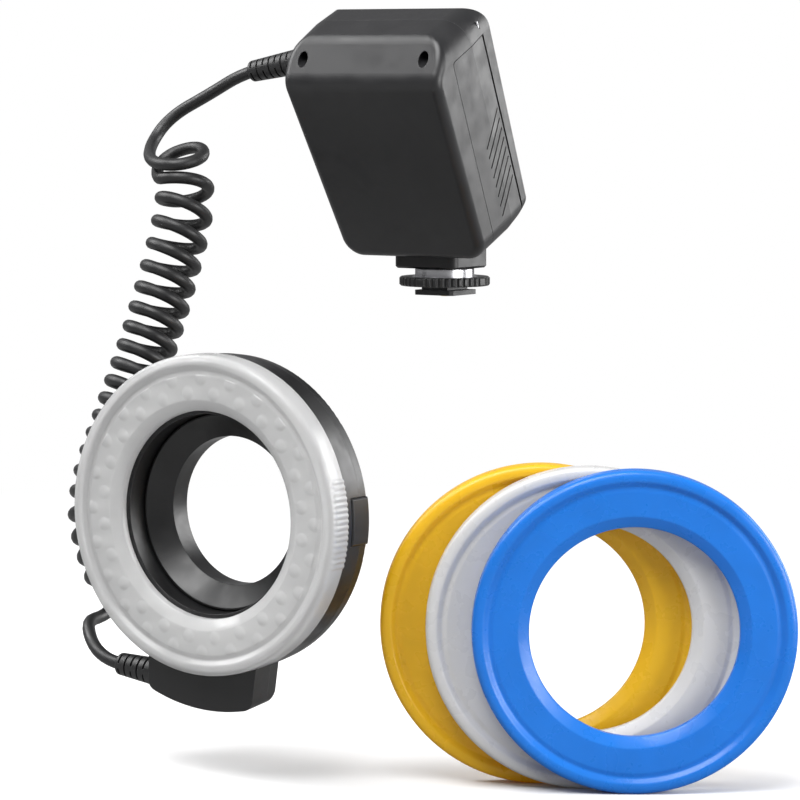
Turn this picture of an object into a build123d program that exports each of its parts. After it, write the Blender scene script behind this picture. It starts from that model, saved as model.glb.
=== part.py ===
from build123d import *
import os
from math import atan, cos, degrees, pi, radians, sin, sqrt, tan

# Macro ring flash: a control unit on a hot shoe foot, a ring of lamps that clips to the front of a
# lens, and the curly cord that joins them. Millimetres. The origin is the middle of the flat
# underside of the foot, +Z is up and the lamps look along -Y, as they do on a camera.

# Shared clearances
body_gap = 0.3                  # between pieces that move past each other
seam = 0.2                      # open line between covers and keys and their housings
over = 2.0                      # how far a cutting tool runs past what it cuts
weld = 0.2                      # how far features of one moulding run into each other
thread_play = 0.1               # between a screw thread and its nut, per side

# Hot shoe foot, stem and locking wheel
foot_width = 18.5
foot_length = 18.0
foot_thickness = 2.0
foot_lead = 1.2                 # chamfer on the edge that enters the shoe first
neck_width = 12.4
neck_length = 15.0
neck_height = 1.5
stem_diameter = 24.0
stem_lip = 0.5
wheel_diameter = 36.8
wheel_thickness = 3.7
wheel_chamfer = 0.6
wheel_teeth = 44
wheel_lands = 4                 # places where a tooth's notch is left out
wheel_notch = 0.75              # radius of each knurl notch
wheel_rest = 0.2                # wheel above the top of the neck
bush_wall = 1.2                 # metal thread bush inside the wheel
bush_play = 0.05
pin_radius = 1.7
pin_proud = 0.7
pin_collar = 0.6
pin_collar_height = 0.5

# Pedestal between the stem and the leaning unit
pedestal_width = 30.0
pedestal_front = 15.5
pedestal_back = 10.0
pedestal_base = 11.0            # height of its underside over the foot
pedestal_corner = 3.0
pedestal_chamfer = 0.8
pedestal_reach = 30.0           # tall enough to run into the unit before it is trimmed

# Control unit, in its own frame: turned about X by the lean, z along the housing
unit_lean = 27.5
unit_bottom = 22.8
unit_top = 118.5
unit_flare = 4.5                # how much farther out each side is at the top than at the foot
unit_corner_low = 9.5
unit_corner_high = 11.0
parting_plane = 11.7            # where the two shells meet, the widest section
front_depth_low = 24.4
front_depth_high = 27.8
rear_depth_low = 14.6
rear_depth_high = 16.9
front_draft = 1.8               # degrees that the sides draw in ahead of the parting plane
rear_draft = 4.0                # and behind it
shoulder_height = 105.0         # where the front face turns back
slope_run = 15.0                # how far the sloping top face goes back
rear_chamfer_run = 12.3
rear_chamfer_rise = 7.2
front_bottom_radius = 4.0
shoulder_radius = 9.0
top_front_radius = 10.0
top_rear_radius = 9.0
rear_bottom_radius = 3.0
bottom_turn_radius = 8.0
edge_round = 3.6                # the broad rounded edge of the front face
shell_wall = 2.2

# Battery door on the +X side
door_front = -3.0               # front long edge, in the unit's depth direction
door_rear = 22.2
door_top = 106.9
door_corner = 2.0
door_thickness = 2.0
door_slide = 5.0
door_plinth_front = 3.0
door_plinth_rear = 16.5
door_plinth_low = 31.0
door_plinth_high = 92.0
hinge_inset = 0.05              # how far the rounded hinge edge sits inside the door's face
hinge_gap = 0.3                 # open line behind the hinge, where the face turns past the shell
hinge_rod_radius = 0.5
hinge_rod_play = 0.12
hinge_rod_socket = 11.0         # how far the rod runs up into the shell above the door
hinge_rod_low = 36.0
groove_count = 8
groove_width = 0.7
groove_depth = 0.45
groove_low = 34.0
groove_pitch = 4.3
groove_front = 6.0
groove_rise = 5.0
groove_rear = 20.0
groove_rear_rise = 6.0

# Cells, tray and contacts
cell_radius = 7.1
cell_length = 49.3
cell_nub_radius = 2.7
cell_nub = 1.2
cell_count = 4
cell_pitch = 15.2
cell_first = 38.4
cell_depth = 9.7
cell_inset = 2.9                # outer end of the cells inside the unit's side at its foot
wiring_space = 11.3             # beside the sprung contacts, out to the other side
tray_wall = 1.6
tray_play = 0.2
tray_cover = 7.4                # how far the tray reaches behind the cells' axis
tray_post_radius = 2.2
tray_post_inset = 4.5
contact_thickness = 0.5
contact_width = 11.0
spring_base = 3.4
spring_tip = 2.2
spring_length = 2.6
door_contact_gap = 0.3

# Circuit board, display and controls on the rear face
board_margin = 9.9              # from the unit's side at its foot
board_low_margin = 7.7
board_top_margin = 14.0
board_thickness = 1.6
board_front = 18.6
boss_radius = 2.4
boss_inset = 3.5
chip_size = 9.0
chip_height = 0.45
rear_middle = 67.0              # height of the middle of the rear panel
window_width = 35.0
window_height = 19.0
window_corner = 1.6
window_rise = 15.0
window_lip = 1.4
window_thickness = 1.2
display_width = 39.0
display_height = 23.0
display_thickness = 4.7
key_radius = 4.2
key_proud = 1.0
key_flange = 0.9
key_flange_height = 0.8
key_spacing = 17.0
key_row = -8.5
test_key_radius = 5.0
test_key_across = 15.0
lower_row = -25.0
switch_across = -13.0
switch_slot_width = 13.0
switch_slot_height = 5.0
switch_slot_corner = 1.2
switch_knob_width = 6.6
switch_knob_height = 4.4
switch_proud = 1.3
switch_travel = 2.8
switch_edge = 0.3
switch_pad = 1.0
lamp_radius = 1.5
lamp_rise = 10.0
button_switch_size = 5.0
button_switch_height = 2.4

# Case screws of the unit
case_screw_inset = 9.9          # from the unit's side and from its top
case_screw_drop = 6.9
case_screw_well = 2.3
case_screw_head = 2.1
case_screw_head_height = 1.6
case_screw_shank = 1.2
case_screw_floor = 6.0          # from the bottom of the well to the parting plane
case_screw_grip = 8.0           # from the parting plane to the screw's tip
case_boss_wall = 1.5
case_boss_tip = 1.5

# Strain reliefs and cord
cord_diameter = 5.0
relief_root = 5.4
relief_tip = 4.3
relief_groove = 0.8             # width of a slot
relief_groove_depth = 1.0
relief_pitch = 3.1
relief_bridge = 2.0
relief_collar = 1.2
relief_gap = 0.7                # between the flange and the wall, which leans in
relief_swell = 0.2              # the round knuckle of a bent relief stands out by this much
relief_flange = 6.8
relief_flange_height = 1.2
relief_play = 0.1
unit_relief_length = 31.0
unit_relief_height = 101.8
unit_relief_droop = 10
unit_relief_slots = 9
head_relief_length = 19.0
head_relief_slots = 5

# Ring head, about the lens axis: depth is measured back from the front rim
lens_drop = 74.2                # lens axis under the foot
head_reach = 167.4              # front rim ahead of the foot
ring_band = 22.6                # from the sleeve to the rim
rim_round = 2.6
skirt_depth = 10.1
diffuser_wall = 1.6
valley_inset = 6.0              # inside the rim
valley_depth = 1.7
panel_inset = 7.8               # inside the rim
panel_rise = 4.2                # outside the lip
panel_depth = 1.2
lip_step = 1.4                  # outside the sleeve
lip_depth = 3.4
lip_wall = 1.5
lip_end = 6.5
rim_land = 1.4
grip_ribs = 16
grip_pitch = 2.0
grip_rib_radius = 0.55
grip_start = 1.9
housing_step = 0.7              # inside the rim
front_housing_end = 19.8
head_depth = 25.4
housing_wall = 2.0
rear_housing_shrink = 0.7
rear_round = 1.4
spigot_gap = 0.15
adapter_band = 8.6              # from the lens thread to the sleeve
sleeve_wall = 2.2
sleeve_front = 6.9
spigot_front = 3.9
ring_floor = 1.6                # web that carries the lamp board
rear_floor = 2.0
lamp_board_face = 8.9
lamp_board_thickness = 1.6
lamp_count = 24
lamp_inner_inset = 2.7          # from the panel's inner edge
lamp_outer_inset = 1.1          # from its outer edge
lamp_stagger_share = 0.5        # of the pitch
lamp_body = 2.3
lamp_height = 4.6
lamp_dome = 1.2

# Block under the ring, where the cord enters
block_turn = 5.6                # its middle is turned this far from straight down
block_reach = 14.4              # below the rim
block_half_low = 24.0
block_half_high = 25.8
block_front = 8.6
block_corner = 4.5
block_draft = 1.6
block_back_chamfer = 4.0
block_back_rise = 9.0
block_relief_rise = 8.1         # axis of the strain relief above the block's underside
block_relief_depth = 16.6

# Adapter ring on the lens thread, and the two catches that hold the head on it
adapter_wall = 0.8              # inside the thread
adapter_lip = 1.4               # from the sleeve in to the cone's front edge
adapter_face_depth = 15.0       # the step seen inside the sleeve
adapter_cone_depth = 21.4
adapter_chamfer = 0.5
catch_groove_start = 20.0
catch_groove_depth = 2.3
adapter_flange_lap = 2.0        # over the sleeve's rear edge
adapter_flange_start = 25.6
adapter_flange_end = 26.9
thread_radius = 29.0
thread_length = 3.2
catch_width = 17.6
catch_start = 13.9
catch_end = 24.4
catch_thickness = 3.0
catch_proud = 0.6               # over the drum's surface
catch_bevel = 0.5
catch_travel = 1.8
catch_arm_width = 12.0
catch_plate_width = 4.4
catch_plate_thickness = 1.2
catch_plate_step = 1.5          # the +X catch runs in front of the other one by this much
catch_tooth_width = 9.0
catch_tooth_play = 0.6          # over the bottom of the groove
catch_tooth_root = 3.6          # how far the tooth runs into its ring
head_screw_count = 6
head_screw_inset = 5.9          # inside the housing's outside
head_screw_head = 1.9
head_screw_sink = 1.0
head_screw_head_height = 1.3
head_screw_shank = 1.1
head_screw_length = 9.0
head_screw_start = 30
head_boss_radius = 2.5

# Colour diffusers, standing on their rims beside the ring, one behind the other
stand_level = -176.0
stand_turn = 33.5
stand_x = 103.5
stand_y = -93.0
stand_shift = 17.0
stand_step = 10.6

nodes = {}


def keep(name, shape):
    """Remember a finished piece, or a group of like pieces, under its name."""
    nodes[name] = Compound(children=list(shape.solids()))


def section(corners, rounds=None):
    """A closed face in the X-Z plane from its corners and the radius at each."""
    if rounds is None:
        line = Polyline(*corners, close=True)
    else:
        line = FilletPolyline(*corners, radius=rounds, close=True)
    return Plane.XZ * make_face(line)


def turned(corners, rounds=None):
    """A body of revolution about Z: each corner is (radius, height)."""
    return revolve(section(corners, rounds), axis=Axis.Z)


def tube(outer, inner, low, high):
    """A plain ring about Z."""
    return turned([(inner, low), (outer, low), (outer, high), (inner, high)])


def rod(radius, low, high):
    """A plain cylinder about Z between two heights."""
    return extrude(Plane.XY.offset(low) * Circle(radius), amount=high - low)


def block(x0, x1, y0, y1, z0, z1):
    """A box between six planes."""
    middle = Pos((x0 + x1) / 2, (y0 + y1) / 2, (z0 + z1) / 2)
    return middle * Box(x1 - x0, y1 - y0, z1 - z0)


def along(start, direction):
    """A placement whose Z axis runs along a direction from a point."""
    return Plane(origin=start, z_dir=direction).location


# Hot shoe foot, stem, wheel and contact pin
neck_top = foot_thickness + neck_height
wheel_bottom = neck_top + wheel_rest
stem_radius = stem_diameter / 2
wheel_radius = wheel_diameter / 2
pin_collar_bottom = foot_thickness
pin_well_top = pin_collar_bottom + pin_collar_height + pin_proud + body_gap


def make_foot():
    plate = block(-foot_width / 2, foot_width / 2, -foot_length / 2, foot_length / 2, 0, foot_thickness)
    front = plate.edges().filter_by(Axis.Z).group_by(Axis.Y)[0]
    plate = chamfer(front, foot_lead)
    neck = block(-neck_width / 2, neck_width / 2, -neck_length / 2, neck_length / 2, foot_thickness, neck_top)
    foot = plate + neck
    foot -= rod(pin_radius + seam, -over, neck_top + over)
    foot -= rod(pin_radius + pin_collar + seam, pin_collar_bottom, neck_top + over)
    keep("shoe_foot", foot)


def make_pin():
    pin = rod(pin_radius, -pin_proud, pin_collar_bottom)
    pin = fillet(pin.edges().sort_by(Axis.Z)[0], pin_proud / 2)
    pin += rod(pin_radius + pin_collar, pin_collar_bottom, pin_collar_bottom + pin_collar_height)
    keep("contact_pin", pin)


def make_stem():
    stem = rod(stem_radius, neck_top, pedestal_base)
    stem = chamfer(stem.edges().sort_by(Axis.Z)[-1], stem_lip)
    stem -= rod(pin_radius + pin_collar + seam, neck_top - over, pin_well_top)
    keep("shoe_stem", stem)


def make_wheel():
    """A knurled nut on the stem, with plain lands between the notches, and its metal bush."""
    low = wheel_bottom
    high = wheel_bottom + wheel_thickness
    bush_radius = stem_radius + thread_play + bush_wall
    wheel = turned([
        (bush_radius + bush_play, low),
        (wheel_radius - wheel_chamfer, low),
        (wheel_radius, low + wheel_chamfer),
        (wheel_radius, high - wheel_chamfer),
        (wheel_radius - wheel_chamfer, high),
        (bush_radius + bush_play, high),
    ])
    land = wheel_teeth // wheel_lands
    notch = Pos(wheel_radius, 0, 0) * rod(wheel_notch, low - over, high + over)
    notches = [Rot(0, 0, 360 * i / wheel_teeth) * notch for i in range(wheel_teeth) if i % land]
    keep("lock_wheel", wheel - notches)
    keep("wheel_bush", tube(bush_radius, stem_radius + thread_play, low, high))


# The leaning housing of the control unit
LEAN = Rot(unit_lean, 0, 0)
cell_total = cell_length + cell_nub
contact_total = spring_length + contact_thickness
unit_half_low = (cell_inset + cell_total + contact_total + wiring_space) / 2
unit_half_high = unit_half_low + unit_flare
taper_share = unit_flare / (unit_top - unit_bottom)
rear_low_y = parting_plane + rear_depth_low
rear_high_y = parting_plane + rear_depth_high
front_low_y = parting_plane - front_depth_low
front_high_y = parting_plane - front_depth_high
cell_end = unit_half_low - cell_inset
board_width = 2 * (unit_half_low - board_margin)
board_low = unit_bottom + board_low_margin
board_high = unit_top - board_top_margin
case_screw_across = unit_half_high - case_screw_inset
case_screw_height = unit_top - case_screw_drop


def unit_outline(inset):
    """Front view of the unit: narrower at its foot, with rounded corners."""
    low = unit_half_low
    high = unit_half_high
    corners = [(-low, unit_bottom), (low, unit_bottom), (high, unit_top), (-high, unit_top)]
    rounds = [unit_corner_low, unit_corner_low, unit_corner_high, unit_corner_high]
    face = make_face(FilletPolyline(*corners, radius=rounds, close=True))
    if inset:
        face = offset(face, amount=-inset)
    return face


def unit_profile(inset):
    """Side view of the unit: a flat front that turns back at a shoulder, and a flat rear."""
    corners = [
        (front_low_y, unit_bottom),
        (rear_low_y - rear_chamfer_run, unit_bottom),
        (rear_low_y, unit_bottom + rear_chamfer_rise),
        (rear_high_y, unit_top),
        (front_high_y + slope_run, unit_top),
        (front_high_y, shoulder_height),
    ]
    rounds = [
        front_bottom_radius,
        bottom_turn_radius,
        rear_bottom_radius,
        top_rear_radius,
        top_front_radius,
        shoulder_radius,
    ]
    face = make_face(FilletPolyline(*corners, radius=rounds, close=True))
    if inset:
        face = offset(face, amount=-inset)
    return Plane.YZ * face


def unit_solid(inset):
    """The housing's outside, or its inside when drawn in by the wall."""
    forward = Plane((0, parting_plane, 0), x_dir=(1, 0, 0), z_dir=(0, -1, 0))
    backward = Plane((0, parting_plane, 0), x_dir=(-1, 0, 0), z_dir=(0, 1, 0))
    fore = extrude(forward * unit_outline(inset), amount=front_depth_high + over, taper=front_draft)
    aft = extrude(backward * unit_outline(inset), amount=rear_depth_high + over, taper=rear_draft)
    reach = unit_half_high + over
    return (fore + aft) & extrude(unit_profile(inset), amount=reach, both=True)


def half(y0, y1):
    """All of the unit's frame between two depths."""
    return block(-unit_half_high - over, unit_half_high + over, y0, y1, 0, unit_top + over)


def side_at(y, z):
    """Half width of the housing at a depth and a height."""
    width = unit_half_low + taper_share * (z - unit_bottom)
    if y < parting_plane:
        return width - tan(radians(front_draft)) * (parting_plane - y)
    return width - tan(radians(rear_draft)) * (y - parting_plane)


def rounded_prism(plane, width, height, corner, low, high):
    """A prism with rounded corners on a plane, between two levels of its normal."""
    return plane * extrude(Plane.XY.offset(low) * RectangleRounded(width, height, corner), amount=high - low)


rear_turn = degrees(atan((rear_high_y - rear_low_y) / (unit_top - unit_bottom - rear_chamfer_rise)))
rear_slope_share = (rear_high_y - rear_low_y) / (unit_top - unit_bottom - rear_chamfer_rise)
rear_middle_y = rear_low_y + rear_slope_share * (rear_middle - unit_bottom - rear_chamfer_rise)
REAR = Plane(
    (0, rear_middle_y, rear_middle),
    x_dir=(-1, 0, 0),
    z_dir=(0, cos(radians(rear_turn)), -sin(radians(rear_turn))),
)
key_places = [(-key_spacing, key_row), (0, key_row), (key_spacing, key_row)]
board_back = board_front + board_thickness
board_drop = rear_middle_y - board_back


def door_region(gap):
    """The part of the side that the door fills, as wide as the opening less a gap all round."""
    front = door_front + gap
    rear = door_rear - gap
    top = door_top - gap
    corners = [(front, 0), (rear, 0), (rear, top), (front, top)]
    face = make_face(FilletPolyline(*corners, radius=[0, 0, 0, door_corner], close=True))
    return Plane.YZ * extrude(Plane.XY.offset(cell_end + gap) * face, amount=unit_half_high)


# The door's hinge line lies inside its rear long edge, along the slope of the side
hinge_y = door_rear - hinge_gap - door_thickness / 2
hinge_x = side_at(hinge_y, hinge_rod_low) - door_thickness / 2 - hinge_inset
hinge_start = Vector(hinge_x, hinge_y, hinge_rod_low)
hinge_direction = Vector(taper_share, 0, 1).normalized()
HINGE = Plane(hinge_start, x_dir=(1, 0, -taper_share), z_dir=hinge_direction).location
hinge_top = (door_top - hinge_rod_low) / hinge_direction.Z


def make_door(body):
    """The battery door: a bent plate with finger grooves and a plinth for the contacts."""
    region = door_region(seam)
    plate = (body - unit_solid(door_thickness)) & region
    plinth = block(
        cell_end + door_contact_gap + contact_thickness, unit_half_high,
        door_plinth_front, door_plinth_rear, door_plinth_low, door_plinth_high,
    )
    door = plate + (plinth & unit_solid(door_thickness - weld))
    edge = HINGE * rod(door_thickness / 2, 0, hinge_top - seam)
    trim = HINGE * block(
        -2 * door_thickness, 2 * door_thickness, 0, 2 * door_thickness, -unit_top, unit_top
    )
    core = HINGE * rod(door_thickness / 2, -unit_top, unit_top)
    door = (door - (trim - core)) + edge
    door -= HINGE * rod(hinge_rod_radius + hinge_rod_play, -over, hinge_top + over)
    face = side_at(parting_plane, unit_bottom)
    skin = body - unit_solid(groove_depth)
    for i in range(groove_count):
        low = groove_low + i * groove_pitch
        line = Polyline(
            (groove_front, low),
            (parting_plane, low + groove_rise),
            (groove_rear, low + groove_rise + groove_rear_rise),
        )
        cut = Plane.YZ * extrude(Plane.XY.offset(face - over) * trace(line, groove_width), amount=unit_half_high)
        door -= cut & skin
    keep("battery_door", LEAN * door)
    pin = HINGE * rod(hinge_rod_radius, 0, hinge_top + hinge_rod_socket - door_slide)
    keep("door_hinge_rod", LEAN * pin)


def screw_well(side):
    """Where a case screw goes in: a well from the front and a shank hole to the rear boss."""
    top = parting_plane - case_screw_floor
    place = Plane((side * case_screw_across, 0, case_screw_height), x_dir=(1, 0, 0), z_dir=(0, 1, 0)).location
    well = place * rod(case_screw_well, front_high_y - over, top)
    hole = place * rod(case_screw_shank + thread_play, top - over, parting_plane + case_screw_grip + case_boss_tip)
    return place, well, hole


def make_shells(body, inside):
    """Front and rear shells with their screw bosses and openings."""
    wall = body - inside
    front = wall & half(front_high_y - over, parting_plane)
    rear = wall & half(parting_plane, rear_high_y + over)
    for side in (-1, 1):
        place, well, hole = screw_well(side)
        boss = place * rod(case_screw_well + case_boss_wall, front_high_y, parting_plane)
        tip = parting_plane + case_screw_grip + case_boss_tip + case_boss_wall
        socket = place * rod(case_screw_well + case_boss_wall, parting_plane, tip)
        front = front + (boss & inside) - well - hole
        rear = rear + (socket & inside) - hole
    opening = door_region(0.0)
    front -= opening
    rear -= opening
    rear -= HINGE * rod(hinge_rod_radius + hinge_rod_play, 0, hinge_top + hinge_rod_socket)
    x = board_width / 2 - boss_inset
    low = board_low + boss_inset
    high = board_high - boss_inset
    for across in (-x, x):
        for up in (low, high):
            place = Plane((across, 0, up), x_dir=(1, 0, 0), z_dir=(0, 1, 0)).location
            rear += place * rod(boss_radius, board_back, rear_high_y) & inside
    rear = cut_controls(rear)
    collar = relief_socket()
    keep("unit_front_shell", LEAN * (front - collar))
    keep("unit_rear_shell", LEAN * (rear - collar))


def cut_controls(shell):
    """The openings for the window, the keys, the switch and the lamp in the rear face."""
    window = Pos(0, window_rise, 0)
    depth = shell_wall + over
    shell -= rounded_prism(REAR * window, window_width, window_height, window_corner, -window_thickness, over)
    shell -= rounded_prism(
        REAR * window, window_width - 2 * window_lip, window_height - 2 * window_lip, window_corner, -depth, over
    )
    for across, up in key_places:
        shell -= REAR * Pos(across, up, 0) * rod(key_radius + seam, -depth, over)
    shell -= REAR * Pos(test_key_across, lower_row, 0) * rod(test_key_radius + seam, -depth, over)
    shell -= REAR * Pos(0, lower_row + lamp_rise / 2, 0) * rod(lamp_radius + thread_play, -depth, over)
    slot = REAR * Pos(switch_across, lower_row, 0)
    shell -= rounded_prism(slot, switch_slot_width, switch_slot_height, switch_slot_corner, -depth, over)
    return shell


def relief_socket():
    """The hole that both shells leave for the collar of the strain relief."""
    return relief_place() * rod(relief_root + relief_play, -shell_wall - over, over)


def relief_place():
    """Where the cord leaves the unit, square to the side that leans out."""
    x = side_at(parting_plane, unit_relief_height)
    return along((-x, parting_plane, unit_relief_height), (-1, 0, -taper_share))


def make_case_screws():
    screws = []
    for side in (-1, 1):
        place, well, hole = screw_well(side)
        top = parting_plane - case_screw_floor
        head = place * rod(case_screw_head, top - case_screw_head_height, top)
        shank = place * rod(case_screw_shank, top, parting_plane + case_screw_grip)
        screws.append(LEAN * (head + shank))
    keep("unit_case_screws", Part() + screws)


def make_pedestal(body):
    """The short plinth that joins the leaning housing to the stem."""
    solid = block(
        -pedestal_width / 2, pedestal_width / 2, -pedestal_front, pedestal_back,
        pedestal_base, pedestal_base + pedestal_reach,
    )
    solid = fillet(solid.edges().filter_by(Axis.Z), pedestal_corner)
    solid = chamfer(solid.faces().sort_by(Axis.Z)[0].edges(), pedestal_chamfer)
    solid -= LEAN * body
    lowest = solid.solids().sort_by(Axis.Z)[0]
    keep("shoe_pedestal", lowest)


# Cells, tray, contacts and circuit board
cell_start = cell_end - cell_total
spring_start = cell_start - spring_length
plate_start = cell_start - contact_total
tray_low = cell_first - cell_radius - tray_wall
tray_high = cell_first + (cell_count - 1) * cell_pitch + cell_radius + tray_wall
tray_back = cell_depth + tray_cover
ACROSS = Rot(0, 90, 0)


def cell_height(i):
    return cell_first + i * cell_pitch


def make_cells():
    """Four round cells that lie across the unit, every second one turned round."""
    cells = []
    for i in range(cell_count):
        flip = Rot(0, 0, 180 * (i % 2))
        cell = rod(cell_radius, -cell_total / 2, cell_total / 2 - cell_nub)
        cell += rod(cell_nub_radius, cell_total / 2 - cell_nub, cell_total / 2)
        place = Pos((cell_start + cell_end) / 2, cell_depth, cell_height(i))
        cells.append(LEAN * place * flip * ACROSS * cell)
    keep("battery_cells", Part() + cells)


def make_tray(inside):
    """A cradle behind the cells, on posts that reach the rear shell."""
    half_width = board_width / 2 + tray_post_inset + tray_post_radius / 2
    tray = block(-half_width, cell_end - tray_play, cell_depth, tray_back, tray_low, tray_high)
    tray += block(
        plate_start - tray_wall, plate_start, cell_depth - cell_radius, tray_back, tray_low, tray_high
    )
    for i in range(cell_count):
        trough = Pos(0, cell_depth, cell_height(i)) * ACROSS * rod(
            cell_radius + tray_play, plate_start, cell_end + over
        )
        tray -= trough
    for side in (-1, 1):
        for up in (tray_low + tray_post_inset, tray_high - tray_post_inset):
            across = side * (board_width / 2 + tray_post_radius + tray_wall / 2)
            place = Plane((across, 0, up), x_dir=(1, 0, 0), z_dir=(0, 1, 0)).location
            tray += place * rod(tray_post_radius, tray_back - weld, rear_high_y) & inside
    keep("battery_tray", LEAN * tray)


def make_contacts():
    """Sprung contacts in the tray, and the two bridging plates that ride on the door."""
    springs = []
    for i in range(cell_count):
        low = cell_height(i) - contact_width / 2
        plate = block(
            plate_start, spring_start, cell_depth - cell_radius, cell_depth - cell_radius + contact_width,
            low, low + contact_width,
        )
        cone = turned([(0, 0), (spring_base, 0), (spring_tip, spring_length), (0, spring_length)])
        cone = Pos(spring_start, cell_depth, cell_height(i)) * ACROSS * cone
        springs.append(LEAN * (plate + cone))
    keep("battery_contacts", Part() + springs)
    bridges = []
    start = cell_end + door_contact_gap
    for i in range(0, cell_count, 2):
        low = cell_height(i) - contact_width / 2
        high = cell_height(i + 1) + contact_width / 2
        middle = (door_plinth_front + door_plinth_rear) / 2
        bridges.append(LEAN * block(
            start, start + contact_thickness, middle - contact_width / 2, middle + contact_width / 2,
            max(low, door_plinth_low), min(high, door_plinth_high),
        ))
    keep("door_contacts", Part() + bridges)


def make_board():
    """The circuit board with its chips and the small switches under the keys."""
    board = block(
        -board_width / 2, board_width / 2, board_front, board_back, board_low, board_high
    )
    for across, up in key_places + [(test_key_across, lower_row)]:
        x = -across
        z = rear_middle + up
        reach = button_switch_size / 2
        board += block(
            x - reach, x + reach, board_back - weld, board_back + button_switch_height, z - reach, z + reach
        )
    x = -switch_across
    z = rear_middle + lower_row
    board += block(
        x - chip_size / 2, x + chip_size / 2, board_front - chip_height, board_front + weld,
        z - chip_size / 2, z + chip_size / 2,
    )
    board += block(
        -chip_size, chip_size, board_front - chip_height, board_front + weld,
        rear_middle - chip_size, rear_middle + chip_size,
    )
    keep("main_circuit_board", LEAN * board)


# Rear panel: window, display, keys, switch and lamp
key_bottom = -shell_wall - seam


def key(radius):
    """A round key with the flange that keeps it in the shell."""
    cap = rod(radius, key_bottom, key_proud)
    cap = fillet(cap.edges().sort_by(Axis.Z)[-1], key_proud / 2)
    return cap + rod(radius + key_flange, key_bottom - key_flange_height, key_bottom)


def make_rear_panel():
    at_window = LEAN * REAR.location * Pos(0, window_rise, 0)
    pane = extrude(
        Plane.XY.offset(-window_thickness)
        * RectangleRounded(window_width - 2 * thread_play, window_height - 2 * thread_play, window_corner),
        amount=window_thickness,
    )
    keep("display_window", at_window * pane)
    top = -shell_wall - thread_play
    display = Pos(0, 0, top - display_thickness / 2) * Box(display_width, display_height, display_thickness)
    keep("display_module", at_window * display)
    for name, place in zip(("key_minus", "key_mode", "key_plus"), key_places):
        keep(name, LEAN * REAR.location * Pos(*place, 0) * key(key_radius))
    keep("key_test", LEAN * REAR.location * Pos(test_key_across, lower_row, 0) * key(test_key_radius))
    knob = extrude(
        Plane.XY.offset(key_bottom) * RectangleRounded(switch_knob_width, switch_knob_height, switch_pad),
        amount=switch_proud - key_bottom,
    )
    knob = chamfer(knob.faces().sort_by(Axis.Z)[-1].edges(), switch_edge)
    base_width = switch_slot_width + 2 * switch_travel + switch_pad
    base_height = switch_slot_height + 2 * switch_pad
    knob += Pos(0, 0, key_bottom - key_flange_height / 2) * Box(base_width, base_height, key_flange_height)
    keep("power_switch", LEAN * REAR.location * Pos(switch_across, lower_row, 0) * knob)
    pipe = rod(lamp_radius, -board_drop + key_proud, thread_play)
    keep("pilot_lamp", LEAN * REAR.location * Pos(0, lower_row + lamp_rise / 2, 0) * pipe)


# Strain reliefs: a tapering sleeve whose slots alternate, on a collar held in the housing
def relief_sleeve(length, slots):
    sleeve = turned([(0, -weld), (relief_root, -weld), (relief_root, 0), (relief_tip, length), (0, length)])
    sleeve = fillet(sleeve.edges().sort_by(Axis.Z)[-1], relief_groove)
    start = length - relief_groove - slots * relief_pitch
    for i in range(slots):
        low = start + i * relief_pitch + relief_pitch / 2
        radius = relief_root + (relief_tip - relief_root) * low / length
        slot = tube(relief_root + over, radius - relief_groove_depth, low, low + relief_groove)
        bridge = Rot(0, 0, 90 * (i % 2)) * Box(relief_bridge, 2 * (relief_root + over), 2 * length)
        sleeve -= slot - bridge
    return sleeve


def relief_mount():
    """The part of a strain relief that the housing holds, along Z with the wall's face at 0."""
    inside = -shell_wall - relief_gap
    return rod(relief_root, inside, relief_collar) + rod(relief_flange, inside - relief_flange_height, inside)


def unit_relief_frame():
    """Start and direction of the drooping sleeve, in the frame of the whole flash."""
    start = (LEAN * relief_place() * Pos(0, 0, relief_collar)).position
    droop = radians(unit_relief_droop)
    return start, Vector(-cos(droop), 0, -sin(droop))


def make_unit_relief():
    start, direction = unit_relief_frame()
    sleeve = along(start, direction) * relief_sleeve(unit_relief_length, unit_relief_slots)
    ball = Pos(*start) * Sphere(relief_root + relief_swell)
    mount = LEAN * relief_place() * relief_mount()
    outside = LEAN * relief_place() * rod(relief_flange + over, seam, unit_relief_length)
    keep("unit_cord_relief", mount + sleeve + (ball & outside))


# Ring head, in its own frame: Z is the lens axis towards the front, 0 is the front rim
HEAD = Pos(0, -head_reach, -lens_drop) * Rot(90, 0, 0)
sleeve_radius = thread_radius + adapter_band
rim_radius = sleeve_radius + ring_band
valley_radius = rim_radius - valley_inset
panel_outer = rim_radius - panel_inset
lip_radius = sleeve_radius + lip_step
panel_inner = lip_radius + panel_rise
housing_radius = rim_radius - housing_step
block_radius = rim_radius + block_reach
spigot_radius = rim_radius - diffuser_wall - spigot_gap


def diffuser_section():
    """The clip-on front: skirt, rounded rim, valley, panel and the lip round the opening."""
    inner_skirt = rim_radius - diffuser_wall
    corners = [
        (rim_radius, -skirt_depth),
        (rim_radius, 0),
        (rim_radius - rim_round - rim_land, 0),
        (valley_radius, -valley_depth),
        (panel_outer, -panel_depth),
        (panel_inner, -panel_depth),
        (lip_radius, -lip_depth),
        (lip_radius, -lip_end),
        (lip_radius + lip_wall, -lip_end),
        (lip_radius + lip_wall, -lip_depth - diffuser_wall / 2),
        (panel_inner, -panel_depth - diffuser_wall),
        (panel_outer, -panel_depth - diffuser_wall),
        (valley_radius, -valley_depth - diffuser_wall),
        (inner_skirt - rim_round / 2, -diffuser_wall),
        (inner_skirt, -diffuser_wall - rim_round / 2),
        (inner_skirt, -skirt_depth),
    ]
    rounds = [0] * len(corners)
    rounds[1] = rim_round
    return turned(corners, rounds)


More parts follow.
